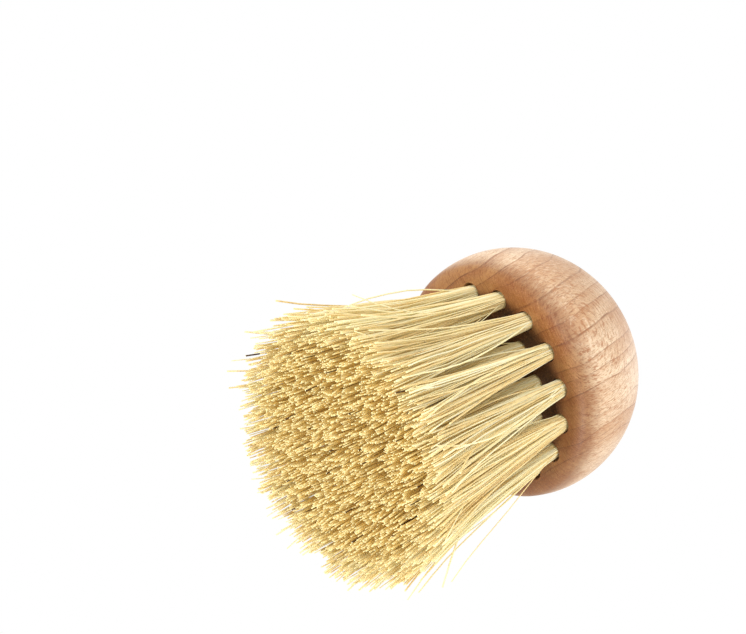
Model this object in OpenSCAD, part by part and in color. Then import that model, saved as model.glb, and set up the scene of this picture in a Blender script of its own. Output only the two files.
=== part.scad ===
// Round palm brush for vegetables, standing on its bristle tips.
// A one-piece turned beech handle is drilled from below with circles of blind holes.
// A tuft of plant fibre is folded in half over a wire staple and driven into each hole.
// The origin is on the flat plane of the trimmed tips, on the handle's axis, with +Z up.

/* [Handle] */
// Diameter of the handle at its widest line
handle_d = 60; // [56:1:80]
// Height of the dome above the widest line
dome_h = 28.5; // [24:0.5:31]
// Angle above the widest line at which the flank's arc runs into the crown's
crown_angle = 36.9; // [20:0.1:55]
// Depth of the lower edge, from the widest line to the flat underside
edge_h = 9; // [7:0.5:12]
// Radius of the side of the lower edge, seen in section
edge_side_r = 24; // [14:1:28]
// Rounding where the side turns under into the flat underside
edge_round_r = 3; // [1:0.25:5]

/* [Holes] */
// Diameter of a tuft hole, which its tuft fills tightly
hole_d = 5; // [4:0.1:5.8]
// Depth of a tuft hole to the start of its drill point, along its own axis
hole_depth = 12; // [9:0.5:16]
// Angle of the drill point
drill_angle = 118; // [90:1:140]
// Flat wood between the outer holes and the rounding of the edge
hole_margin = 1; // [0.6:0.1:2.5]
// Distance from one circle of holes to the next, as a share of the outer circle's radius
ring_step = 0.336; // [0.292:0.004:0.372]
// Angle at which the outer holes lean outwards
outer_lean = 5.5; // [0:0.5:9]
// Turn of the outer circle about the axis
outer_turn = -3; // [-11:1:11]
// Turn of the middle circle about the axis
middle_turn = 4.5; // [-16:0.5:16]
// Turn of the inner circle about the axis
inner_turn = 20; // [-36:1:36]

/* [Tufts] */
// Number of tufts in the outer circle
outer_count = 16; // [12:1:18]
// Number of tufts in the middle circle
middle_count = 11; // [8:1:12]
// Number of tufts in the inner circle
inner_count = 5; // [4:1:6]
// Length of the bristles below the wood
bristle_l = 51; // [30:1:70]
// Length of the closed bundle that shows below each hole
collar_l = 1.5; // [0.8:0.1:3]
// Least gap between two tufts at their tips
tuft_gap = 0.4; // [0.2:0.1:2]
// How much the strands bend outwards on their way, 0 for straight ones
bow = 0.2; // [0:0.05:0.5]

/* [Strands] */
// Strands in the inner circle of a tuft, round the middle one
inner_strands = 4; // [3:1:5]
// Strands in the outer circle of a tuft
outer_strands = 8; // [6:1:9]
// Width of a strand where it leaves the bundle
strand_d = 0.9; // [0.5:0.05:0.9]
// Width of a strand at its tip, where the fibres in it have spread
strand_tip_d = 1.5; // [0.6:0.05:1.6]
// Length of the strands' roots inside the bundle
strand_root_l = 1; // [0.5:0.1:2]
// Depth of the final trim that makes the tips one flat face
trim_l = 0.5; // [0.2:0.1:1]

/* [Staples] */
// Thickness of the flat staple wire, which is square in section
wire_t = 0.7; // [0.4:0.05:1]
// Distance between the middles of the two legs
staple_w = 3.4; // [2.4:0.1:3.5]
// Thickness of the folded fibre between the staple and the end of the tuft
fold_h = 2.6; // [1.5:0.1:4]
// How far the staple's legs go into the wood past the start of the drill point
leg_bite = 5; // [3:0.5:8]
// Length of the legs' points
leg_point_l = 0.9; // [0.4:0.1:1.5]

/* [Hidden] */
$fn = 64;
// Facets of a strand, and the places along it where it may bend
STRAND_SIDES = 3;
STRAND_STEPS = 3;
// Turn from one strand's corners to the next strand's
STRAND_SPIN = 47;

// Heights and radii of the handle
handle_r = handle_d / 2;
underside_z = bristle_l;
widest_z = underside_z + edge_h;
top_z = widest_z + dome_h;
// Dome: the flank's arc starts upright at the widest line and its centre lies off the axis by this much
flank_shift = (handle_r - dome_h) / (1 + tan(crown_angle) - 1 / cos(crown_angle));
flank_c = [flank_shift, widest_z];
flank_r = handle_r - flank_shift;
// The crown's centre lies on the axis, in line with the flank's centre and the place where they meet
crown_c = [0, widest_z - flank_shift * tan(crown_angle)];
crown_r = top_z - crown_c.y;
// Lower edge: the side's arc starts upright at the widest line and runs into the rounding
side_c = [handle_r - edge_side_r, widest_z];
round_drop = edge_h - edge_round_r;
round_c = [
    side_c.x + sqrt(pow(edge_side_r - edge_round_r, 2) - pow(round_drop, 2)),
    underside_z + edge_round_r
];
round_angle = atan2(round_c.y - side_c.y, round_c.x - side_c.x);

// Holes
hole_r = hole_d / 2;
point_h = hole_r / tan(drill_angle / 2);
mouth_over = hole_r * tan(outer_lean) + 0.2;
// The tuft's round end rests on the cone that the drill point leaves
fold_c = hole_depth + point_h - hole_r / sin(drill_angle / 2);
crown_wire_z = fold_c + hole_r - fold_h;
staple_r = staple_w / 2;
arch_z = crown_wire_z + staple_r;
leg_end_z = hole_depth + leg_bite;

// Circles of tufts: radius at the holes, number, and turn about the axis
outer_r = round_c.x - hole_margin - hole_r;
RING_R = [outer_r, outer_r * (1 - ring_step), outer_r * (1 - 2 * ring_step), 0];
RING_COUNT = [outer_count, middle_count, inner_count, 1];
RING_TURN = [outer_turn, middle_turn, inner_turn, 0];
// Each circle leans in step with its distance from the axis
RING_LEAN = [for (r = RING_R) outer_lean * r / outer_r];
TIP_R = [for (k = [0:3]) RING_R[k] + bristle_l * tan(RING_LEAN[k])];

// A tuft spreads until it nearly meets its closest neighbour at the tips
chords = [for (k = [0:2]) 2 * TIP_R[k] * sin(180 / RING_COUNT[k])];
steps = [for (k = [0:2]) TIP_R[k] - TIP_R[k + 1]];
tuft_tip_r = (min(concat(chords, steps)) - tuft_gap) / 2;
// Strand places across a tuft, as shares of its radius
strand_places = concat(
    [[0, 0]],
    [for (i = [0:inner_strands - 1]) 0.5 * [cos(360 * i / inner_strands), sin(360 * i / inner_strands)]],
    [for (i = [0:outer_strands - 1]) let (a = 360 * (i + 0.5) / outer_strands) [cos(a), sin(a)]]
);
root_spread_r = hole_r - strand_d / 2 - 0.1;
tip_spread_r = tuft_tip_r - strand_tip_d / 2;

// Names of the separate pieces
function two_digits(n) = n < 10 ? str("0", n) : str(n);
function names(word, count) = [for (i = [1:count]) str(word, two_digits(i))];
TUFT_NAMES = [
    names("outer_tuft_", outer_count),
    names("middle_tuft_", middle_count),
    names("inner_tuft_", inner_count),
    ["centre_tuft"]
];

// Part of a disc between two angles about its centre
module sector(centre, r, from, to) {
    mid = (from + to) / 2;
    translate(centre)
        intersection() {
            circle(r);
            polygon([[0, 0], for (a = [from, mid, to]) 2 * r * [cos(a), sin(a)]]);
        }
}

// Outer half of a disc between two angles. Unless an end is upright on the axis, it laps
// inside the next arc's piece, so that the two meet only at the point where their arcs do.
module arc_piece(centre, r, from, to, on_axis = false) {
    ends = [for (a = [from, to]) r * [cos(a), sin(a)]];
    inner = [
        ends[0] / 2 + r / 16 * [sin(from), -cos(from)],
        on_axis ? ends[1] / 2 : ends[1] / 2 - r / 16 * [sin(to), -cos(to)]
    ];
    outer = [for (k = [0, 1]) ends[k] + (ends[k] - inner[k]) / 5];
    middle = 2 * r * [cos((from + to) / 2), sin((from + to) / 2)];
    translate(centre)
        intersection() {
            circle(r);
            polygon([inner[0], outer[0], middle, outer[1], inner[1]]);
        }
}

// Point three quarters of the way from an arc's centre to the arc
function inside(centre, r, angle) = centre + 0.75 * r * [cos(angle), sin(angle)];

// Half section of the handle, from the axis out
module handle_profile() {
    arc_piece(crown_c, crown_r, crown_angle, 90, on_axis = true);
    arc_piece(flank_c, flank_r, 0, crown_angle);
    arc_piece(side_c, edge_side_r, round_angle, 0);
    arc_piece(round_c, edge_round_r, -90, round_angle);
    polygon([
        [0, underside_z],
        [round_c.x, underside_z],
        inside(round_c, edge_round_r, round_angle),
        inside(side_c, edge_side_r, 0),
        inside(flank_c, flank_r, crown_angle),
        inside(crown_c, crown_r, 90)
    ]);
}

// Puts a child at one hole: its +Z runs up the hole and its -Z out along the tuft
module at_hole(ring, i) {
    rotate([0, 0, RING_TURN[ring] + 360 * i / RING_COUNT[ring]])
        translate([RING_R[ring], 0, underside_z])
            rotate([0, -RING_LEAN[ring], 0])
                children();
}

module at_every_hole() {
    for (ring = [0:3], i = [0:RING_COUNT[ring] - 1])
        at_hole(ring, i) children();
}

// Blind hole with its drill point, run out a little below the slanting mouth
module hole() {
    rotate_extrude()
        polygon([
            [0, -mouth_over],
            [hole_r, -mouth_over],
            [hole_r, hole_depth],
            [0, hole_depth + point_h]
        ]);
}

// Outline of a staple: a half-round crown below two legs, each cut to a point on a slant
module staple_outline() {
    translate([0, arch_z])
        difference() {
            circle(staple_r + wire_t / 2);
            circle(staple_r - wire_t / 2);
            translate([-staple_w, 0])
                square([2 * staple_w, staple_w]);
        }
    for (side = [-1, 1])
        polygon([
            [side * (staple_r - wire_t / 2), arch_z],
            [side * (staple_r + wire_t / 2), arch_z],
            [side * (staple_r + wire_t / 2), leg_end_z],
            [side * (staple_r - wire_t / 2), leg_end_z - leg_point_l]
        ]);
}

// Staple of flat wire, its crown across the tuft's fold and its legs up into the wood
module staple() {
    translate([wire_t / 2, 0, 0])
        rotate([90, 0, -90])
            linear_extrude(wire_t)
                staple_outline();
}

// Bundle of folded fibre that fills a hole, with the staple's way left open
module bundle() {
    difference() {
        rotate_extrude() {
            translate([0, -collar_l])
                square([hole_r, collar_l + fold_c]);
            sector([0, fold_c], hole_r, 0, 90);
        }
        staple();
    }
}

// Place in a tuft's cross-section at a hole, some way out along the tuft's axis
function root_at(ring, p, out) = let (lean = RING_LEAN[ring]) [
    RING_R[ring] + p.x * cos(lean) + out * sin(lean),
    p.y,
    underside_z + p.x * sin(lean) - out * cos(lean)
];

// Place at the tips, below the plane of the trim
function tip_at(ring, p) = [TIP_R[ring] + p.x, p.y, -trim_l];

// Middle of a strand at share t of its length, bending outwards as it goes
function strand_at(root, tip, t) = let (s = t + bow * t * (t - 1)) [
    root.x + (tip.x - root.x) * s,
    root.y + (tip.y - root.y) * s,
    root.z + (tip.z - root.z) * t
];

// One strand as a closed prism with level cross-sections
module strand(root, tip, spin) {
    points = [
        for (k = [0:STRAND_STEPS]) let (
            t = k / STRAND_STEPS,
            c = strand_at(root, tip, t),
            r = (strand_d + (strand_tip_d - strand_d) * t) / 2
        )
        for (j = [0:STRAND_SIDES - 1]) let (a = spin + 360 * j / STRAND_SIDES)
            [c.x + r * cos(a), c.y + r * sin(a), c.z]
    ];
    last = STRAND_STEPS * STRAND_SIDES;
    sides = [
        for (k = [0:STRAND_STEPS - 1], j = [0:STRAND_SIDES - 1]) let (
            a = k * STRAND_SIDES + j,
            b = k * STRAND_SIDES + (j + 1) % STRAND_SIDES,
            c = a + STRAND_SIDES,
            d = b + STRAND_SIDES
        )
        for (face = [[a, b, d], [a, d, c]]) face
    ];
    ends = [
        for (j = [1:STRAND_SIDES - 2]) each [[0, j + 1, j], [last, last + j, last + j + 1]]
    ];
    polyhedron(points, concat(sides, ends));
}

// Tuft number i of a circle: its bundle and its strands, trimmed flat at the tips
module tuft(ring, i) {
    color("#ddc88e") {
        at_hole(ring, i) bundle();
        difference() {
            rotate([0, 0, RING_TURN[ring] + 360 * i / RING_COUNT[ring]])
                for (k = [0:len(strand_places) - 1])
                    strand(
                        root_at(ring, root_spread_r * strand_places[k], collar_l - strand_root_l),
                        tip_at(ring, tip_spread_r * strand_places[k]),
                        STRAND_SPIN * k
                    );
            translate([-handle_d, -handle_d, -2 * trim_l])
                cube([2 * handle_d, 2 * handle_d, 2 * trim_l]);
        }
    }
}

// Turned wooden handle with its tuft holes and the ways that the staple legs cut
module handle() {
    color("#dfb88f")
        difference() {
            rotate_extrude() handle_profile();
            at_every_hole() {
                hole();
                staple();
            }
        }
}

// All the wire staples, one in each tuft
module tuft_staples() {
    color("#b9bbbf")
        at_every_hole() staple();
}

handle();
tuft_staples();
for (ring = [0:3], i = [0:RING_COUNT[ring] - 1])
    tuft(ring, i);
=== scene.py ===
import math

import bpy
from mathutils import Matrix, Vector


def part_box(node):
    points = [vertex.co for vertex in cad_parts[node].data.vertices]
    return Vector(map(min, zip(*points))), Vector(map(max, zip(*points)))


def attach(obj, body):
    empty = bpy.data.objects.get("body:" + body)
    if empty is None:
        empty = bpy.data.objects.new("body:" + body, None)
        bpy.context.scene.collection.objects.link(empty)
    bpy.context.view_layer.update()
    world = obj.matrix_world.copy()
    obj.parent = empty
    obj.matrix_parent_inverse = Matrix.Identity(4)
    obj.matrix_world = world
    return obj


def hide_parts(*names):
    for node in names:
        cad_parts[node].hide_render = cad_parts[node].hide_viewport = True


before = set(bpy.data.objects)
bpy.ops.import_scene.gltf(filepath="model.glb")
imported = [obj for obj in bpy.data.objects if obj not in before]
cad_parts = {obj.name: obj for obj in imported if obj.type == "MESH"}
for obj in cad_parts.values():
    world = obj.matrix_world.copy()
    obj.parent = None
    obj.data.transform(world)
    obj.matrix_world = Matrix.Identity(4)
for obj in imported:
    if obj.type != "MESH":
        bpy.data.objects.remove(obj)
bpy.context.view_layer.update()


# The handle
# One block of untreated beech, turned to a dome and sanded smooth. The grain runs along the axis, the growth
# rings cross the dome and make arches on one flank, and the rays show as dashes or as a blotched eye.
MM = 0.001
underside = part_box("handle")[0].z

beech_pale = (0.76, 0.58, 0.39, 1)
beech_warm = (0.57, 0.35, 0.19, 1)
beech_pink = (0.52, 0.30, 0.18, 1)
beech_late = (0.43, 0.205, 0.09, 1)
beech_line = (0.22, 0.09, 0.035, 1)
beech_ray = (0.38, 0.155, 0.06, 1)
beech_fleck = (0.86, 0.70, 0.52, 1)
# painted shade, with some real end-grain darkening: the next two colours darken the lower rounding and the
# underside between the tufts
rounding_painted_shade = (0.42, 0.26, 0.12, 1)
end_grain_and_painted_shade = (0.20, 0.12, 0.08, 1)

# the turn to the wood's own directions: from pith to bark, along the rings and along the grain
grain_turn = (math.radians(-8.5), 0, math.radians(139.6))
pith_distance = 112.2 * MM
ring_gap = 4.3 * MM
ring_bends = (
    # how far a ring strays, in bends of what size, with how much detail
    (1.1 * MM, (24 * MM, 24 * MM, 70 * MM), 1.5),
    (1.1 * MM, (9 * MM, 9 * MM, 15 * MM), 1.0),
    (0.12 * MM, (2.5 * MM, 2.5 * MM, 8 * MM), 3.0),
)
good_years_rate = 1.9
good_years_swing = 0.28
# each year runs from 0 to 1: where in it the late wood, the line at its end and the faint rings come up
late_rise = (0.35, 1.0)
late_range = (0.3, 0.9)
line_rise = (0.93, 0.985)
line_fall = (0.03, 0.0)
line_range = (0.35, 0.75)
line_patches = {"size": (7 * MM, 5 * MM, 6 * MM), "detail": 1.5}
line_patch_levels = (0.42, 0.60)
line_patch_range = (0.5, 1.0)
faint_rings_rate = 3.3
faint_rise = (0.70, 0.98)

# each pattern's size in the wood's own directions, and its levels from no colour to the full colour
cloud_pattern = {"size": (13 * MM, 13 * MM, 40 * MM), "detail": 3.0}
cloud_levels = (0.40, 0.62)
mottle_pattern = {"size": (1.6 * MM, 0.5 * MM, 1.1 * MM), "detail": 3.0, "roughness": 0.65}
mottle_levels = (0.42, 0.66)
ray_pattern = {"size": (3.0 * MM, 0.21 * MM, 1.6 * MM), "detail": 2.5, "roughness": 0.55}
ray_levels = (0.58, 0.64)
ray_halo_levels = (0.50, 0.72)
fleck_levels = (0.44, 0.36)
hairline_pattern = {"size": (2.4 * MM, 0.12 * MM, 1.0 * MM), "roughness": 0.6}
hairline_levels = (0.54, 0.62)
grain_pattern = {"size": (0.34 * MM, 0.30 * MM, 2.1 * MM), "detail": 3.0, "roughness": 0.7}
grain_levels = (0.53, 0.64)
pore_streaks = {"width": 0.22 * MM, "length": 5 * MM, "roughness": 0.6}
dash_streaks = {"width": 0.17 * MM, "length": 1.5 * MM, "detail": 1.5, "roughness": 0.6}
dash_levels = (0.59, 0.66)

mottle_strength = 0.28
late_strength = 0.75
faint_strength = 0.25
line_strength = 1.5
ray_halo_strength = 0.16
fleck_strength = 0.32
ray_strength = 0.62
hairline_strength = 0.5
dash_strength = 0.6
grain_strength = 0.34
pore_shades = (0.83, 1.17)

# the rounded lower edge and the flat underside, darkened by painted shade and partly by real end grain, by
# height above the underside and distance from the axis
rounding_shade_heights = (underside + 8.0 * MM, underside + 0.5 * MM)
end_grain_shade_heights = (underside + 1.0 * MM, underside)
end_grain_shade_radii = (25.0 * MM, 20.5 * MM)

beech_roughness = (0.42, 0.66)
ray_extra_roughness = 0.08
pore_height = 0.5
line_height = -0.35
ray_height = -0.25
beech_bump = {"Strength": 0.25, "Distance": 0.12 * MM}
beech_specular = 0.5
# the raised fuzz of sanded wood lightens its rim
beech_fuzz = {"Sheen Weight": 0.15, "Sheen Roughness": 0.35}

# the level about which noise swings
noise_middle = 0.5


def feed(node, sockets):
    """Gives a node's sockets plain values, or joins them to other nodes' outputs."""
    for name, value in dict(sockets).items():
        if isinstance(value, bpy.types.NodeSocket):
            node.id_data.links.new(value, node.inputs[name])
        else:
            node.inputs[name].default_value = value


def add_node(tree, kind, sockets=(), **settings):
    """A node with its properties set and its sockets fed."""
    made = tree.nodes.new(kind)
    for name, value in settings.items():
        setattr(made, name, value)
    feed(made, sockets)
    return made


def calc(tree, operation, *values, **settings):
    """The result of a Math node."""
    return add_node(tree, "ShaderNodeMath", enumerate(values), operation=operation, **settings).outputs[0]


def vector_calc(tree, operation, *values):
    """The result of a Vector Math node."""
    places = (0, "Scale") if operation == "SCALE" else range(len(values))
    made = add_node(tree, "ShaderNodeVectorMath", zip(places, values), operation=operation)
    return made.outputs["Value" if operation == "LENGTH" else "Vector"]


def between(tree, value, low, high):
    """0 up to low, 1 from high on, and smooth between them."""
    return add_node(
        tree,
        "ShaderNodeMapRange",
        {"Value": value, "From Min": low, "From Max": high},
        interpolation_type="SMOOTHSTEP",
    ).outputs[0]


def spread_over(tree, value, low, high):
    """A value from 0 to 1 carried over to the range from low to high."""
    return calc(tree, "MULTIPLY_ADD", value, high - low, low)


def noise(tree, place, detail=2.0, roughness=0.5, output="Fac"):
    """Noise with features one unit across."""
    return add_node(
        tree, "ShaderNodeTexNoise", {"Vector": place, "Scale": 1.0, "Detail": detail, "Roughness": roughness}
    ).outputs[output]


def pattern(tree, place, size, detail=2.0, roughness=0.5):
    """Noise whose features have a size of their own in each direction."""
    return noise(tree, vector_calc(tree, "MULTIPLY", place, tuple(1 / s for s in size)), detail, roughness)


def mixed(tree, share, first, second, blend="MIX"):
    """Two colours mixed by a share."""
    return add_node(
        tree, "ShaderNodeMix", {0: share, 6: first, 7: second}, data_type="RGBA", blend_type=blend
    ).outputs[2]


def streaks_group():
    """A shader node group that draws streaks along Z, as the grain, the wire and the fibres run."""
    group = bpy.data.node_groups.new("lengthwise_streaks", "ShaderNodeTree")
    group.interface.new_socket("Place", in_out="INPUT", socket_type="NodeSocketVector")
    for name in ("Width", "Length", "Detail", "Roughness"):
        group.interface.new_socket(name, in_out="INPUT", socket_type="NodeSocketFloat")
    group.interface.new_socket("Streaks", in_out="OUTPUT", socket_type="NodeSocketFloat")
    given = add_node(group, "NodeGroupInput").outputs
    size = add_node(
        group, "ShaderNodeCombineXYZ", {"X": given["Width"], "Y": given["Width"], "Z": given["Length"]}
    ).outputs[0]
    place = vector_calc(group, "DIVIDE", given["Place"], size)
    add_node(group, "NodeGroupOutput", {"Streaks": noise(group, place, given["Detail"], given["Roughness"])})
    return group


lengthwise_streaks = streaks_group()


def streaked(tree, place, width, length, detail=2.0, roughness=0.5):
    """The streaks group placed in a material, with that material's own sizes."""
    sizes = {"Width": width, "Length": length, "Detail": detail, "Roughness": roughness}
    return add_node(
        tree, "ShaderNodeGroup", {"Place": place, **sizes}, node_tree=lengthwise_streaks
    ).outputs["Streaks"]


def new_material(name):
    """A material with only its output and a Principled shader."""
    material = bpy.data.materials.new(name)
    material.use_nodes = True
    tree = material.node_tree
    tree.nodes.clear()
    shader = add_node(tree, "ShaderNodeBsdfPrincipled")
    add_node(tree, "ShaderNodeOutputMaterial", {"Surface": shader.outputs[0]})
    return material, tree, shader


def growth_rings(tree, wood):
    """Masks for the late wood of each year, the dark line that ends it, and the faint rings within it."""
    axes = add_node(tree, "ShaderNodeSeparateXYZ", {0: wood}).outputs
    from_pith = calc(tree, "ADD", axes["X"], pith_distance)
    squares = [calc(tree, "MULTIPLY", side, side) for side in (from_pith, axes["Y"])]
    distance = calc(tree, "SQRT", calc(tree, "ADD", *squares))
    for reach, size, detail in ring_bends:
        bend = calc(tree, "SUBTRACT", pattern(tree, wood, size, detail), noise_middle)
        distance = calc(tree, "MULTIPLY_ADD", bend, reach * 2, distance)
    years = calc(tree, "DIVIDE", distance, ring_gap)
    # good and bad years make wide and narrow rings
    swing = calc(tree, "SINE", calc(tree, "MULTIPLY", years, good_years_rate))
    years = calc(tree, "ADD", years, calc(tree, "MULTIPLY", swing, good_years_swing))
    season = calc(tree, "FRACT", years)
    year = calc(tree, "FLOOR", years)
    weight = add_node(tree, "ShaderNodeTexWhiteNoise", {"W": year}, noise_dimensions="1D").outputs["Value"]
    late = calc(tree, "MULTIPLY", between(tree, season, *late_rise), spread_over(tree, weight, *late_range))
    line = calc(tree, "MAXIMUM", between(tree, season, *line_rise), between(tree, season, *line_fall))
    line = calc(tree, "MULTIPLY", line, spread_over(tree, weight, *line_range))
    # the line between two years is stronger in some places than in others
    patches = between(tree, pattern(tree, wood, **line_patches), *line_patch_levels)
    line = calc(tree, "MULTIPLY", line, spread_over(tree, patches, *line_patch_range))
    faint = between(tree, calc(tree, "FRACT", calc(tree, "MULTIPLY", years, faint_rings_rate)), *faint_rise)
    return late, line, faint


def beech():
    material, tree, shader = new_material("turned_beech")
    place = add_node(tree, "ShaderNodeTexCoord").outputs["Object"]
    wood = add_node(tree, "ShaderNodeMapping", {"Vector": place, "Rotation": grain_turn}).outputs[0]
    late, line, faint = growth_rings(tree, wood)
    rays = pattern(tree, wood, **ray_pattern)
    clear_rays = between(tree, rays, *ray_levels)
    pores = streaked(tree, wood, **pore_streaks)
    mottle = between(tree, pattern(tree, wood, **mottle_pattern), *mottle_levels)
    hairlines = between(tree, pattern(tree, wood, **hairline_pattern), *hairline_levels)
    dashes = between(tree, streaked(tree, wood, **dash_streaks), *dash_levels)
    grain = between(tree, pattern(tree, wood, **grain_pattern), *grain_levels)

    cloud = between(tree, pattern(tree, wood, **cloud_pattern), *cloud_levels)
    colour = mixed(tree, cloud, beech_pale, beech_warm)
    for mask, strength, tint in (
        (mottle, mottle_strength, beech_pink),
        (late, late_strength, beech_late),
        (faint, faint_strength, beech_late),
        (line, line_strength, beech_line),
        (between(tree, rays, *ray_halo_levels), ray_halo_strength, beech_ray),
        (between(tree, rays, *fleck_levels), fleck_strength, beech_fleck),
        (clear_rays, ray_strength, beech_ray),
        (hairlines, hairline_strength, beech_ray),
        (dashes, dash_strength, beech_line),
    ):
        colour = mixed(tree, calc(tree, "MULTIPLY", mask, strength), colour, tint)
    # darker towards the underside: end grain is really darker, as the turned surface cuts more and more
    # across the grain, but most of this darkening is painted shade on the lower rounding and between the
    # tufts
    height = add_node(tree, "ShaderNodeSeparateXYZ", {0: place}).outputs["Z"]
    radius = vector_calc(tree, "LENGTH", vector_calc(tree, "MULTIPLY", place, (1, 1, 0)))
    rounding_shade = between(tree, height, *rounding_shade_heights)
    end_grain_and_shade = calc(
        tree, "MULTIPLY", between(tree, height, *end_grain_shade_heights), between(tree, radius, *end_grain_shade_radii)
    )
    # painted shade multiplied in on the lower rounding and on the underside between the tufts
    colour = mixed(tree, rounding_shade, colour, rounding_painted_shade, blend="MULTIPLY")
    colour = mixed(tree, end_grain_and_shade, colour, end_grain_and_painted_shade, blend="MULTIPLY")
    colour = mixed(tree, calc(tree, "MULTIPLY", grain, grain_strength), colour, beech_late)
    shade = spread_over(tree, pores, *pore_shades)
    shade = add_node(tree, "ShaderNodeCombineXYZ", {0: shade, 1: shade, 2: shade}).outputs[0]
    colour = mixed(tree, 1.0, colour, shade, blend="MULTIPLY")

    rough = spread_over(tree, pores, *beech_roughness)
    rough = calc(tree, "MULTIPLY_ADD", clear_rays, ray_extra_roughness, rough)
    relief = calc(
        tree, "ADD", calc(tree, "MULTIPLY", pores, pore_height), calc(tree, "MULTIPLY", line, line_height)
    )
    relief = calc(tree, "MULTIPLY_ADD", clear_rays, ray_height, relief)
    bump = add_node(tree, "ShaderNodeBump", {"Height": relief, **beech_bump}).outputs[0]
    feed(shader, {"Base Color": colour, "Roughness": rough, "Normal": bump})
    feed(shader, {"Specular IOR Level": beech_specular, **beech_fuzz})
    return material


def dress(node, material):
    """Gives a CAD node's own mesh a finish."""
    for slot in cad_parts[node].material_slots:
        slot.material = material


dress("handle", beech())


# The staples
# Flat steel wire, drawn, cut on a slant and bent to a U. Each staple crosses the fold of a tuft and is driven
# into the wood past the bottom of the hole, so none of them shows on the finished brush.
steel_light = (0.62, 0.62, 0.63, 1)
steel_dark = (0.42, 0.42, 0.43, 1)
stain_pattern = {"size": (1.2 * MM, 1.2 * MM, 1.2 * MM), "detail": 3.0}
stain_levels = (0.4, 0.7)
drawing_marks = {"width": 0.06 * MM, "length": 1.5 * MM}
steel_roughness = (0.2, 0.5)
steel_bump = {"Strength": 0.3, "Distance": 0.02 * MM}


def drawn_wire():
    material, tree, shader = new_material("drawn_steel_wire")
    place = add_node(tree, "ShaderNodeTexCoord").outputs["Object"]
    scratches = streaked(tree, place, **drawing_marks)
    stain = between(tree, pattern(tree, place, **stain_pattern), *stain_levels)
    colour = mixed(tree, stain, steel_light, steel_dark)
    rough = spread_over(tree, scratches, *steel_roughness)
    bump = add_node(tree, "ShaderNodeBump", {"Height": scratches, **steel_bump}).outputs[0]
    feed(shader, {"Base Color": colour, "Roughness": rough, "Normal": bump, "Metallic": 1.0})
    return material


dress("tuft_staples", drawn_wire())


# The tufts
# Each tuft is a pinch of pale plant fibre, folded in half over its staple and packed tight into its hole. The
# fibres fan out until the tufts run together, and the whole face is trimmed flat, which leaves pale cut ends.
outer_lean = math.radians(5.5)
outer_circle = 22.62 * MM
hole_circles = (
    # name of the tufts, how many, radius of the circle of holes, turn of the circle
    ("outer", 16, outer_circle, math.radians(-3)),
    ("middle", 11, 15.02 * MM, math.radians(4.5)),
    ("inner", 5, 7.42 * MM, math.radians(20)),
    ("centre", 1, 0.0, 0.0),
)
tuft_lengths = {
    "Hole radius": 2.5 * MM,
    "Fold depth": 10.6 * MM,
    "Face radius": 31.3 * MM,
    "Tip gap": 0.57 * MM,
    "Fibre width": 0.37 * MM,
    # how far from a tuft's middle the fibres on the outside of its bundle end
    "Tuft reach": 5.2 * MM,
    # how far locks sway together, and how far each fibre leans, bows and kinks by itself
    "Sway": 3.4 * MM,
    "Lean": 0.45 * MM,
    "Bow": 0.4 * MM,
    "Kink": 1.0 * MM,
    # how far the outermost fibres splay, and the strays among them
    "Splay": 3.0 * MM,
    "Stray splay": 4.5 * MM,
    # how far short of the face locks, pits and single fibres end
    "Short lock": 2.6 * MM,
    "Pit": 3.6 * MM,
    "Short fibre": 0.9 * MM,
}
fibre_sides = 5
fibre_points = 10

straw_tones = (
    (0.00, (0.70, 0.49, 0.21)),
    (0.16, (0.90, 0.72, 0.34)),
    (0.38, (0.96, 0.81, 0.45)),
    (0.66, (0.98, 0.90, 0.56)),
    (1.00, (0.99, 0.95, 0.73)),
)
# painted golden shade: the colour of light scattered deep inside the bundle
painted_golden_shade = (0.88, 0.67, 0.22, 1)
cut_end = (0.98, 0.89, 0.52, 1)
dark_fibre = (0.12, 0.065, 0.03, 1)
tone_shades = (0.12, 0.87)
lock_shading = 0.8
patch_streaks = {"width": 0.5 * MM, "length": 9 * MM}
patch_shading = 0.5
fine_streaks = {"width": 0.14 * MM, "length": 5 * MM, "detail": 1.0}
fine_shading = 0.45
ridge_streaks = {"width": 0.08 * MM, "length": 1.8 * MM, "detail": 1.0}
painted_gold_rise = (0.45, 0.85)
painted_gold_strength = 0.75
bright_tip_rise = (0.975, 1.0)
bright_tip_range = (0.3, 0.9)
dark_fibre_levels = (0.007, 0.006)
fibre_roughness = (0.38, 0.63)
fibre_bump = {"Strength": 0.3, "Distance": 0.03 * MM}
fibre_specular = 0.12
# painted glow: the strength of a faint emission in the fibres
painted_glow = 0.04
light_through = 0.25


def attribute(tree, name):
    """An attribute of the piece, read by its material."""
    return add_node(tree, "ShaderNodeAttribute", attribute_name=name).outputs["Fac"]


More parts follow.
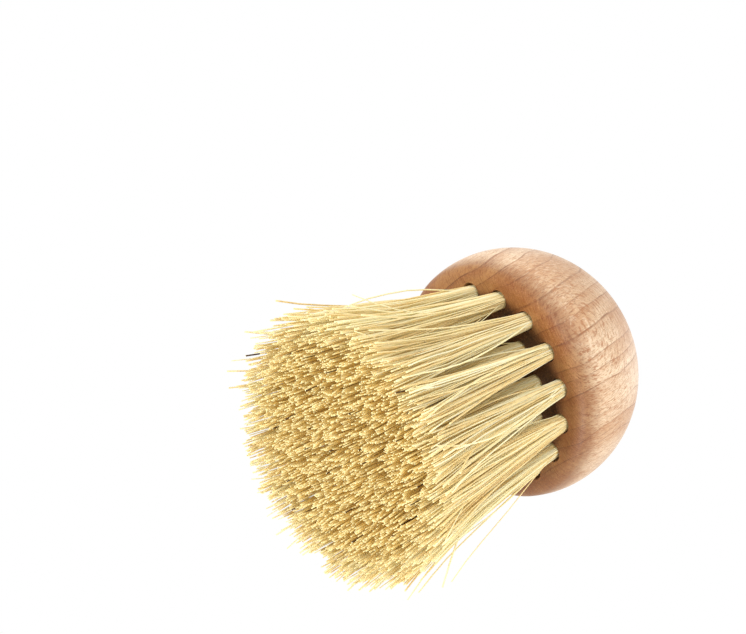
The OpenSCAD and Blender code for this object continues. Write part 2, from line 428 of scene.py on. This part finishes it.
def plant_fibre():
    material, tree, shader = new_material("plant_fibre")
    place = add_node(tree, "ShaderNodeTexCoord").outputs["Object"]
    tone = attribute(tree, "tone")
    along = attribute(tree, "along")
    sheltered = attribute(tree, "sheltered")
    patches = streaked(tree, place, **patch_streaks)
    shade = spread_over(tree, tone, *tone_shades)
    for value, strength in (
        (attribute(tree, "lock"), lock_shading),
        (patches, patch_shading),
        (streaked(tree, place, **fine_streaks), fine_shading),
    ):
        shade = calc(tree, "MULTIPLY_ADD", calc(tree, "SUBTRACT", value, noise_middle), strength, shade)
    ramp = add_node(tree, "ShaderNodeValToRGB", {"Fac": shade})
    stops = ramp.color_ramp.elements
    while len(stops) < len(straw_tones):
        stops.new(0.5)
    for stop, (position, rgb) in zip(stops, straw_tones):
        stop.position = position
        stop.color = (*rgb, 1)
    colour = ramp.outputs["Color"]
    # painted golden shade: the sheltered fibres inside the bundle are tinted gold behind their tips, standing
    # in for light scattered deep between the fibres
    painted_gold = calc(tree, "MULTIPLY", sheltered, between(tree, along, *painted_gold_rise))
    colour = mixed(tree, calc(tree, "MULTIPLY", painted_gold, painted_gold_strength), colour, painted_golden_shade)
    bright_tip = calc(
        tree,
        "MULTIPLY",
        between(tree, along, *bright_tip_rise),
        spread_over(tree, sheltered, *bright_tip_range),
    )
    colour = mixed(tree, bright_tip, colour, cut_end)
    colour = mixed(tree, between(tree, tone, *dark_fibre_levels), colour, dark_fibre)
    colour = mixed(tree, attribute(tree, "cut"), colour, cut_end)

    rough = spread_over(tree, patches, *fibre_roughness)
    ridges = streaked(tree, place, **ridge_streaks)
    bump = add_node(tree, "ShaderNodeBump", {"Height": ridges, **fibre_bump}).outputs[0]
    feed(shader, {"Base Color": colour, "Roughness": rough, "Normal": bump})
    feed(shader, {"Specular IOR Level": fibre_specular})
    # painted glow: a faint emission of the fibre's own colour stands in for light that wanders about between
    # the packed fibres
    feed(shader, {"Emission Color": colour, "Emission Strength": painted_glow})
    # thin fibres let some light through, which turns it golden
    through = add_node(tree, "ShaderNodeBsdfTranslucent", {"Color": colour, "Normal": bump})
    blend = add_node(
        tree, "ShaderNodeMixShader", {0: light_through, 1: shader.outputs[0], 2: through.outputs[0]}
    )
    feed(tree.nodes["Material Output"], {"Surface": blend.outputs[0]})
    return material


fibre_material = plant_fibre()

face_corners = 96
most_ends_per_area = 9e6
ends_seed = 7
own_values = (
    # random values that each fibre keeps: name, kind, lowest, highest, seed
    ("tone", "FLOAT", 0.0, 1.0, 11),
    ("lean_own", "FLOAT_VECTOR", (-1, -1, -1), (1, 1, 1), 12),
    ("bow_own", "FLOAT_VECTOR", (-1, -1, -1), (1, 1, 1), 13),
    ("stray", "FLOAT", 0.0, 1.0, 14),
    ("size_own", "FLOAT", 0.0, 1.0, 15),
)
# how firmly the hole holds the bundle together, and the room beside its wall in widths of a fibre
bundle_hold = 4.0
wall_room = 0.6

# the size of each pattern over the face, and the power with which its effect grows from the hole to the tips
sway_size = 2.6 * MM
sway_power = 0.9
# how far apart in the sway's pattern two tufts are, and the two ends of a fibre
tuft_step = 7.3
fibre_step = 1.3
lean_power = 2.0
gather_size = 2.0 * MM
gather_power = 1.5
gather_share = 0.48
kink_size = 0.4 * MM
kink_power = 0.6
kinks_along = 3.5
wild_strays = (0.88, 1.0)
wild_range = (1.0, 10.0)
splay_power = 2.5
splay_strays = (0.86, 1.0)
splay_rim = (0.82, 1.0)
lock_size = 2.4 * MM
lock_levels = (0.40, 0.75)
pit_size = 4.5 * MM
pit_levels = (0.54, 0.68)
# the room under a cut end, in widths of a fibre
end_room = 0.3
fan_bend = 0.2
lock_tone_size = 1.7 * MM
sheltered_rim = (0.92, 0.72)
width_range = (0.62, 1.12)
end_of_fibre = 0.999


def stored(tree, geometry, name, value, kind="FLOAT", domain="POINT"):
    """The geometry with a named attribute added."""
    return add_node(
        tree,
        "GeometryNodeStoreNamedAttribute",
        {"Geometry": geometry, "Name": name, "Value": value},
        data_type=kind,
        domain=domain,
    ).outputs["Geometry"]


def read(tree, name, kind="FLOAT"):
    """An attribute of the geometry."""
    made = add_node(tree, "GeometryNodeInputNamedAttribute", {"Name": name}, data_type=kind)
    return made.outputs["Attribute"]


def random_value(tree, kind, low, high, seed):
    """A value at random for each point, the same in every run."""
    made = add_node(tree, "FunctionNodeRandomValue", {"Seed": seed}, data_type=kind)
    shown = [s for s in made.inputs if s.enabled]
    for socket, value in zip(shown, (low, high)):
        socket.default_value = value
    return next(s for s in made.outputs if s.enabled)


def growing(tree, outside, power, whole):
    """Nothing at the hole's mouth, and the whole at the tip."""
    return calc(tree, "MULTIPLY", calc(tree, "POWER", outside, power), whole)


def face_noise(tree, end, size, detail):
    """Noise over the trimmed face."""
    return noise(tree, vector_calc(tree, "SCALE", end, 1 / size), detail)


def fibre_ends(tree, given):
    """Points spread evenly over the whole trimmed face, of which this tuft keeps the ones nearest to it."""
    face = add_node(
        tree,
        "GeometryNodeMeshCircle",
        {"Vertices": face_corners, "Radius": given["Face radius"]},
        fill_type="NGON",
    ).outputs["Mesh"]
    spacing = {"Distance Min": given["Tip gap"], "Density Max": most_ends_per_area}
    ends = add_node(
        tree,
        "GeometryNodeDistributePointsOnFaces",
        {"Mesh": face, "Seed": ends_seed, **spacing},
        distribute_method="POISSON",
    ).outputs["Points"]
    end = add_node(tree, "GeometryNodeInputPosition").outputs[0]
    nearest = add_node(
        tree, "GeometryNodeSampleNearest", {"Geometry": given["Tip centres"], "Sample Position": end}
    ).outputs["Index"]
    other = add_node(
        tree, "FunctionNodeCompare", {2: nearest, 3: given["Tuft"]}, data_type="INT", operation="NOT_EQUAL"
    ).outputs[0]
    ends = add_node(
        tree, "GeometryNodeDeleteGeometry", {"Geometry": ends, "Selection": other}, domain="POINT"
    ).outputs[0]
    centre = add_node(
        tree,
        "GeometryNodeSampleIndex",
        {"Geometry": given["Tip centres"], "Value": end, "Index": given["Tuft"]},
        data_type="FLOAT_VECTOR",
    ).outputs[0]

    # where a fibre stands in the bundle follows from where it ends on the face
    from_centre = vector_calc(tree, "SUBTRACT", end, centre)
    share = calc(tree, "DIVIDE", vector_calc(tree, "LENGTH", from_centre), given["Tuft reach"])
    squeeze = calc(tree, "ADD", calc(tree, "POWER", share, bundle_hold), 1.0)
    share = calc(tree, "DIVIDE", share, calc(tree, "POWER", squeeze, 1 / bundle_hold))
    in_bundle = vector_calc(
        tree,
        "SCALE",
        vector_calc(tree, "NORMALIZE", from_centre),
        calc(tree, "MULTIPLY", share, bundle_radius(tree, given)),
    )
    ends = stored(tree, ends, "end", end, "FLOAT_VECTOR")
    ends = stored(tree, ends, "in_bundle", in_bundle, "FLOAT_VECTOR")
    for name, kind, low, high, seed in own_values:
        ends = stored(tree, ends, name, random_value(tree, kind, low, high, seed), kind)
    return ends


def bundle_radius(tree, given):
    """The radius of the folded bundle in its hole, to the middle of its outermost fibres."""
    return calc(
        tree, "SUBTRACT", given["Hole radius"], calc(tree, "MULTIPLY", given["Fibre width"], wall_room)
    )


def fold_place(tree, given, mouth, in_bundle):
    """Where a fibre starts: on the round end of the folded bundle, down in the hole."""
    squares = [
        calc(tree, "POWER", length, 2.0)
        for length in (bundle_radius(tree, given), vector_calc(tree, "LENGTH", in_bundle))
    ]
    bulge = calc(tree, "SQRT", calc(tree, "MAXIMUM", calc(tree, "SUBTRACT", *squares), 0.0))
    depth = calc(tree, "ADD", given["Fold depth"], bulge)
    return vector_calc(tree, "SUBTRACT", mouth, vector_calc(tree, "SCALE", given["Way out"], depth))


def bent_aside(tree, given, end, outside, off_axis):
    """How far a point of a fibre stands beside the straight way to its end."""
    layer = calc(tree, "MULTIPLY_ADD", given["Tuft"], tuft_step, calc(tree, "MULTIPLY", outside, fibre_step))
    layer = add_node(tree, "ShaderNodeCombineXYZ", {"Z": layer}).outputs[0]
    sway_place = vector_calc(tree, "ADD", vector_calc(tree, "SCALE", end, 1 / sway_size), layer)
    sway = noise(tree, sway_place, detail=1.0, output="Color")
    sway = vector_calc(tree, "SUBTRACT", sway, (noise_middle,) * 3)
    sway = vector_calc(tree, "SCALE", sway, growing(tree, outside, sway_power, given["Sway"]))

    gather = add_node(tree, "ShaderNodeTexVoronoi", {"Vector": end, "Scale": 1 / gather_size})
    gather = vector_calc(tree, "SUBTRACT", gather.outputs["Position"], end)
    gather = vector_calc(tree, "SCALE", gather, growing(tree, outside, gather_power, gather_share))

    wild = spread_over(tree, between(tree, read(tree, "stray"), *wild_strays), *wild_range)
    lean = calc(tree, "MULTIPLY", growing(tree, outside, lean_power, given["Lean"]), wild)
    lean = vector_calc(tree, "SCALE", read(tree, "lean_own", "FLOAT_VECTOR"), lean)
    arch = calc(tree, "SINE", calc(tree, "MULTIPLY", outside, math.pi))
    bow = calc(tree, "MULTIPLY", calc(tree, "MULTIPLY", arch, given["Bow"]), wild)
    bow = vector_calc(tree, "SCALE", read(tree, "bow_own", "FLOAT_VECTOR"), bow)

    layer = calc(tree, "MULTIPLY", outside, kinks_along)
    layer = add_node(tree, "ShaderNodeCombineXYZ", {"Z": layer}).outputs[0]
    kink_place = vector_calc(tree, "ADD", vector_calc(tree, "SCALE", end, 1 / kink_size), layer)
    kink = noise(tree, kink_place, detail=0.0, output="Color")
    kink = vector_calc(tree, "SUBTRACT", kink, (noise_middle,) * 3)
    kink = vector_calc(tree, "SCALE", kink, growing(tree, outside, kink_power, given["Kink"]))

    # nothing holds the outermost fibres, which splay
    splay = calc(tree, "MULTIPLY", calc(tree, "POWER", read(tree, "size_own"), 2.0), given["Splay"])
    strays = between(tree, read(tree, "stray"), *splay_strays)
    splay = calc(tree, "MULTIPLY_ADD", strays, given["Stray splay"], splay)
    splay = calc(tree, "MULTIPLY", splay, between(tree, off_axis, *splay_rim))
    splay = growing(tree, outside, splay_power, splay)
    splay = vector_calc(tree, "SCALE", vector_calc(tree, "NORMALIZE", end), splay)

    together = vector_calc(tree, "ADD", sway, gather)
    alone = vector_calc(tree, "ADD", lean, bow)
    aside = vector_calc(tree, "ADD", together, alone)
    aside = vector_calc(tree, "ADD", aside, kink)
    return vector_calc(tree, "MULTIPLY", vector_calc(tree, "ADD", aside, splay), (1, 1, 0))


def cut_height(tree, given, end):
    """The trim isn't perfect: some locks, pits and single fibres end a little short of the face."""
    short = between(tree, face_noise(tree, end, lock_size, detail=1.5), *lock_levels)
    short = calc(tree, "MULTIPLY", short, given["Short lock"])
    pits = between(tree, face_noise(tree, end, pit_size, detail=1.0), *pit_levels)
    short = calc(tree, "MULTIPLY_ADD", pits, given["Pit"], short)
    own = calc(tree, "POWER", read(tree, "size_own"), 2.0)
    short = calc(tree, "MULTIPLY_ADD", own, given["Short fibre"], short)
    return calc(tree, "MULTIPLY_ADD", given["Fibre width"], end_room, short)


def tuft_tree():
    """Geometry nodes that grow one tuft, from a mesh with one point at the middle of each tuft's tips."""
    tree = bpy.data.node_groups.new("grow_tuft", "GeometryNodeTree")
    tree.is_modifier = True
    for name, kind in (
        ("Tip centres", "Geometry"),
        ("Tuft", "Int"),
        ("Hole mouth", "Vector"),
        ("Way out", "Vector"),
        *((name, "Float") for name in tuft_lengths),
        ("Fibre sides", "Int"),
        ("Fibre points", "Int"),
        ("Material", "Material"),
    ):
        tree.interface.new_socket(name, in_out="INPUT", socket_type="NodeSocket" + kind)
    tree.interface.new_socket("Tuft mesh", in_out="OUTPUT", socket_type="NodeSocketGeometry")
    given = add_node(tree, "NodeGroupInput").outputs

    # One line of points for each fibre, laid from the fold to the cut end
    straight = add_node(tree, "GeometryNodeCurvePrimitiveLine").outputs[0]
    straight = add_node(
        tree, "GeometryNodeResampleCurve", {"Curve": straight, "Count": given["Fibre points"]}
    ).outputs[0]
    ends = fibre_ends(tree, given)
    lines = add_node(tree, "GeometryNodeInstanceOnPoints", {"Points": ends, "Instance": straight}).outputs[0]
    lines = add_node(tree, "GeometryNodeRealizeInstances", {"Geometry": lines}).outputs[0]
    way = add_node(tree, "GeometryNodeSplineParameter").outputs["Factor"]
    first_step = calc(tree, "DIVIDE", 1.0, calc(tree, "SUBTRACT", given["Fibre points"], 1.0))
    outside = calc(
        tree,
        "DIVIDE",
        calc(tree, "SUBTRACT", way, first_step),
        calc(tree, "SUBTRACT", 1.0, first_step),
        use_clamp=True,
    )
    in_hole = calc(tree, "LESS_THAN", way, calc(tree, "MULTIPLY", first_step, 0.5))

    # The first point lies at the fold, the next at the hole's mouth, and the rest fan out to the trimmed face
    end = read(tree, "end", "FLOAT_VECTOR")
    in_bundle = read(tree, "in_bundle", "FLOAT_VECTOR")
    off_axis = calc(tree, "DIVIDE", vector_calc(tree, "LENGTH", end), given["Face radius"])
    mouth = vector_calc(tree, "ADD", given["Hole mouth"], in_bundle)
    fold = fold_place(tree, given, mouth, in_bundle)
    lift = add_node(tree, "ShaderNodeCombineXYZ", {"Z": cut_height(tree, given, end)}).outputs[0]
    whole_way = vector_calc(tree, "SUBTRACT", vector_calc(tree, "ADD", end, lift), mouth)
    before_end = calc(tree, "SUBTRACT", outside, 1.0)
    fanned = calc(tree, "MULTIPLY_ADD", before_end, calc(tree, "MULTIPLY", outside, fan_bend), outside)
    across = vector_calc(tree, "SCALE", vector_calc(tree, "MULTIPLY", whole_way, (1, 1, 0)), fanned)
    down = vector_calc(tree, "SCALE", vector_calc(tree, "MULTIPLY", whole_way, (0, 0, 1)), outside)
    in_air = vector_calc(tree, "ADD", vector_calc(tree, "ADD", mouth, across), down)
    in_air = vector_calc(tree, "ADD", in_air, bent_aside(tree, given, end, outside, off_axis))
    place = add_node(
        tree, "GeometryNodeSwitch", {"Switch": in_hole, "False": in_air, "True": fold}, input_type="VECTOR"
    ).outputs[0]
    lines = add_node(tree, "GeometryNodeSetPosition", {"Geometry": lines, "Position": place}).outputs[0]

    # What the material needs to know of each point
    for name, value in (
        ("lock", face_noise(tree, end, lock_tone_size, detail=1.0)),
        ("along", outside),
        ("sheltered", between(tree, off_axis, *sheltered_rim)),
        ("tone", read(tree, "tone")),
    ):
        lines = stored(tree, lines, name, value)

    # Round fibres with closed ends
    own = spread_over(tree, read(tree, "size_own"), *width_range)
    radius = calc(tree, "MULTIPLY", calc(tree, "MULTIPLY", given["Fibre width"], own), 0.5)
    lines = add_node(tree, "GeometryNodeSetCurveRadius", {"Curve": lines, "Radius": radius}).outputs[0]
    ring = add_node(
        tree, "GeometryNodeCurvePrimitiveCircle", {"Resolution": given["Fibre sides"], "Radius": 1.0}
    ).outputs["Curve"]
    scale = add_node(tree, "GeometryNodeInputRadius").outputs[0]
    mesh = add_node(
        tree,
        "GeometryNodeCurveToMesh",
        {"Curve": lines, "Profile Curve": ring, "Scale": scale, "Fill Caps": True},
    ).outputs[0]
    is_cut = calc(tree, "GREATER_THAN", read(tree, "along"), end_of_fibre)
    mesh = stored(tree, mesh, "cut", is_cut, domain="FACE")
    is_cut = calc(tree, "GREATER_THAN", read(tree, "cut"), 0.5)
    mesh = add_node(tree, "GeometryNodeSetShadeSmooth", {"Geometry": mesh, "Shade Smooth": True}).outputs[0]
    mesh = add_node(
        tree, "GeometryNodeSetShadeSmooth", {"Geometry": mesh, "Selection": is_cut, "Shade Smooth": False}
    ).outputs[0]
    for name in ("end", "in_bundle", "lean_own", "bow_own", "stray", "size_own"):
        mesh = add_node(tree, "GeometryNodeRemoveAttribute", {"Geometry": mesh, "Name": name}).outputs[0]
    mesh = add_node(tree, "GeometryNodeRealizeInstances", {"Geometry": mesh}).outputs[0]
    mesh = add_node(tree, "GeometryNodeSetMaterial", {"Geometry": mesh, "Material": given["Material"]})
    add_node(tree, "NodeGroupOutput", {"Tuft mesh": mesh.outputs[0]})
    return tree


class Tuft:
    """Where one tuft stands: its name, the mouth of its hole, its way out and the middle of its tips."""

    def __init__(self, name, circle_radius, angle):
        lean = outer_lean * circle_radius / outer_circle
        outward = Vector((math.cos(angle), math.sin(angle), 0))
        self.name = name
        self.mouth = outward * circle_radius + Vector((0, 0, underside))
        self.way_out = outward * math.sin(lean) - Vector((0, 0, math.cos(lean)))
        self.tip = outward * (circle_radius + underside * math.tan(lean))


tufts = []
for circle, count, circle_radius, turn in hole_circles:
    for number in range(count):
        name = f"{circle}_tuft_{number + 1:02d}" if count > 1 else f"{circle}_tuft"
        tufts.append(Tuft(name, circle_radius, turn + 2 * math.pi * number / count))

tip_centres = bpy.data.meshes.new("tip_centres")
tip_centres.from_pydata([t.tip for t in tufts], [], [])
grow_tuft = tuft_tree()
sockets = {item.name: item.identifier for item in grow_tuft.interface.items_tree if item.in_out == "INPUT"}

for number, tuft in enumerate(tufts):
    grower = bpy.data.objects.new("grower", tip_centres)
    bpy.context.scene.collection.objects.link(grower)
    modifier = grower.modifiers.new("tuft", "NODES")
    modifier.node_group = grow_tuft
    for name, value in (
        ("Tuft", number),
        ("Hole mouth", tuft.mouth),
        ("Way out", tuft.way_out),
        *tuft_lengths.items(),
        ("Fibre sides", fibre_sides),
        ("Fibre points", fibre_points),
        ("Material", fibre_material),
    ):
        modifier[sockets[name]] = value
    bpy.context.view_layer.update()
    grown = grower.evaluated_get(bpy.context.evaluated_depsgraph_get())
    mesh = bpy.data.meshes.new_from_object(grown)
    grower.modifiers.clear()
    bpy.data.objects.remove(grower)
    mesh.name = tuft.name + "_fibres"
    fibres = bpy.data.objects.new(tuft.name + "_fibres", mesh)
    bpy.context.scene.collection.objects.link(fibres)
    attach(fibres, "root")
    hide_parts(tuft.name)


# The studio
# A pale floor holds the standing brush and its shadow. It is seen only from above, and fades into a white
# surround. Five soft lights shine on the brush, and the camera is below the tips and rolled.
floor_half = 2.0
floor_corners = [(-1, -1), (1, -1), (1, 1), (-1, 1)]
floor_pale = (0.9, 0.9, 0.9, 1)
floor_roughness = 0.9
floor_specular = 0.1
fade_distances = (0.08, 0.35)
white = (1, 1, 1, 1)
surround_strength = 0.75
backdrop_strength = 1.0
light_distance = 1.0
soft_lights = (
    # name, azimuth and elevation in degrees, width, watts, whether surfaces mirror it
    ("upper_left", -40, 45, 0.5, 1.0, True),
    ("overhead", 140, 75, 0.5, 2.0, True),
    ("bristle_face", -50, -57, 0.5, 8.6, False),
    ("tuft_sides", 25, -8, 0.5, 4.5, True),
    ("lower_sides", 112, -25, 0.6, 6.5, True),
)
view_azimuth = 48.4
view_elevation = -39.15
view_roll = math.radians(67.5)
view_distance = 0.564
aim = Vector((-23.4, -13.0, 33.2)) * MM
focal_length = 115.8
sensor_width = 36
nearest_seen = 0.01

floor_mesh = bpy.data.meshes.new("floor")
floor_mesh.from_pydata([(x * floor_half, y * floor_half, 0) for x, y in floor_corners], [], [(0, 1, 2, 3)])
floor = bpy.data.objects.new("floor", floor_mesh)
bpy.context.scene.collection.objects.link(floor)
floor_material, tree, shader = new_material("pale_floor")
feed(shader, {"Base Color": floor_pale, "Roughness": floor_roughness, "Specular IOR Level": floor_specular})
see_through = add_node(tree, "ShaderNodeBsdfTransparent")
from_middle = vector_calc(tree, "LENGTH", add_node(tree, "ShaderNodeTexCoord").outputs["Object"])
below = add_node(tree, "ShaderNodeNewGeometry").outputs["Backfacing"]
hidden = calc(tree, "MAXIMUM", below, between(tree, from_middle, *fade_distances))
blend = add_node(tree, "ShaderNodeMixShader", {0: hidden, 1: shader.outputs[0], 2: see_through.outputs[0]})
feed(tree.nodes["Material Output"], {"Surface": blend.outputs[0]})
floor_mesh.materials.append(floor_material)
floor.visible_shadow = False
floor.visible_diffuse = False
floor.visible_glossy = False
floor.visible_transmission = False

world = bpy.data.worlds.new("studio")
bpy.context.scene.world = world
world.use_nodes = True
tree = world.node_tree
tree.nodes.clear()
surround = add_node(tree, "ShaderNodeBackground", {"Color": white, "Strength": surround_strength})
backdrop = add_node(tree, "ShaderNodeBackground", {"Color": white, "Strength": backdrop_strength})
rays = add_node(tree, "ShaderNodeLightPath").outputs
seen = calc(tree, "MAXIMUM", rays["Is Camera Ray"], rays["Is Glossy Ray"])
sky = add_node(tree, "ShaderNodeMixShader", {0: seen, 1: surround.outputs[0], 2: backdrop.outputs[0]})
add_node(tree, "ShaderNodeOutputWorld", {"Surface": sky.outputs[0]})


def direction(azimuth, elevation):
    """The way from the brush to a light or camera. Azimuth 0 is in front, and 90 to the right."""
    a, e = math.radians(azimuth), math.radians(elevation)
    return Vector((math.sin(a) * math.cos(e), -math.cos(a) * math.cos(e), math.sin(e)))


for name, azimuth, elevation, width, watts, mirrored in soft_lights:
    lamp = bpy.data.lights.new(name, "AREA")
    lamp.shape = "DISK"
    lamp.size = width
    lamp.energy = watts
    holder = bpy.data.objects.new(name, lamp)
    away = direction(azimuth, elevation)
    holder.location = Vector((0, 0, underside)) + away * light_distance
    holder.rotation_euler = away.to_track_quat("Z", "Y").to_euler()
    holder.visible_glossy = mirrored
    bpy.context.scene.collection.objects.link(holder)

back = direction(view_azimuth, view_elevation)
level_right = Vector((0, 0, 1)).cross(back).normalized()
level_up = back.cross(level_right)
up = level_up * math.cos(view_roll) - level_right * math.sin(view_roll)
right = up.cross(back)
camera_data = bpy.data.cameras.new("camera")
camera_data.lens = focal_length
camera_data.sensor_width = sensor_width
camera_data.clip_start = nearest_seen
camera = bpy.data.objects.new("camera", camera_data)
turned = Matrix((right, up, back)).transposed().to_4x4()
camera.matrix_world = Matrix.Translation(aim + back * view_distance) @ turned
bpy.context.scene.collection.objects.link(camera)
bpy.context.scene.camera = camera
bpy.context.scene.view_settings.view_transform = "Standard"
